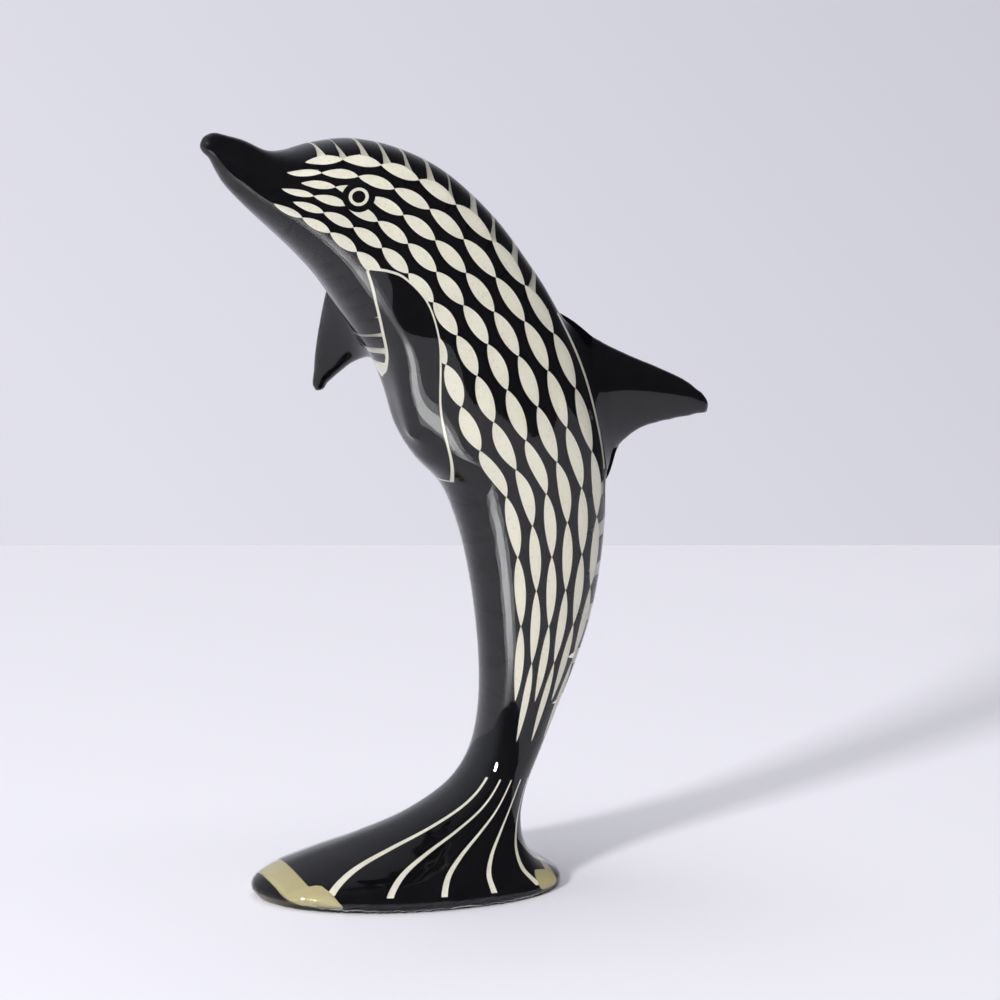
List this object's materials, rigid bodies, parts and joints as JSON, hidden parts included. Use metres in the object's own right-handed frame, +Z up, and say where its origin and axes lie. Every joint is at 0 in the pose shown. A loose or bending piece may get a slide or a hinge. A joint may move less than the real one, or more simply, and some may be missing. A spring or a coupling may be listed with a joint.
{
  "type": "dolphin sculpture",
  "caption": "Leaping dolphin cast in glossy resin, beak raised and back arched, standing on its own curled tail, which spreads into a flat oval foot.",
  "frame": {"origin": "under the middle of the figure's bounding box, on the plane of the foot's underside", "axes": "+Z up, from the foot to the head; the beak and the foot's toe point along -X and the dorsal fin along +X; +Y across the figure, which is mirrored in the plane y = 0"},
  "size_m": [0.1389, 0.0572, 0.2011],
  "materials": {
    "clear_resin": "clear polished cast resin over the sealed-in layers",
    "black_resin": "black pigmented resin sealed in, seen through the polished clear skin",
    "ivory_resin": "ivory pigmented resin sealed in, seen through the polished clear skin"
  },
  "bodies": {
    "root": {"dolphin": "clear_resin"}
  },
  "joints": []
}
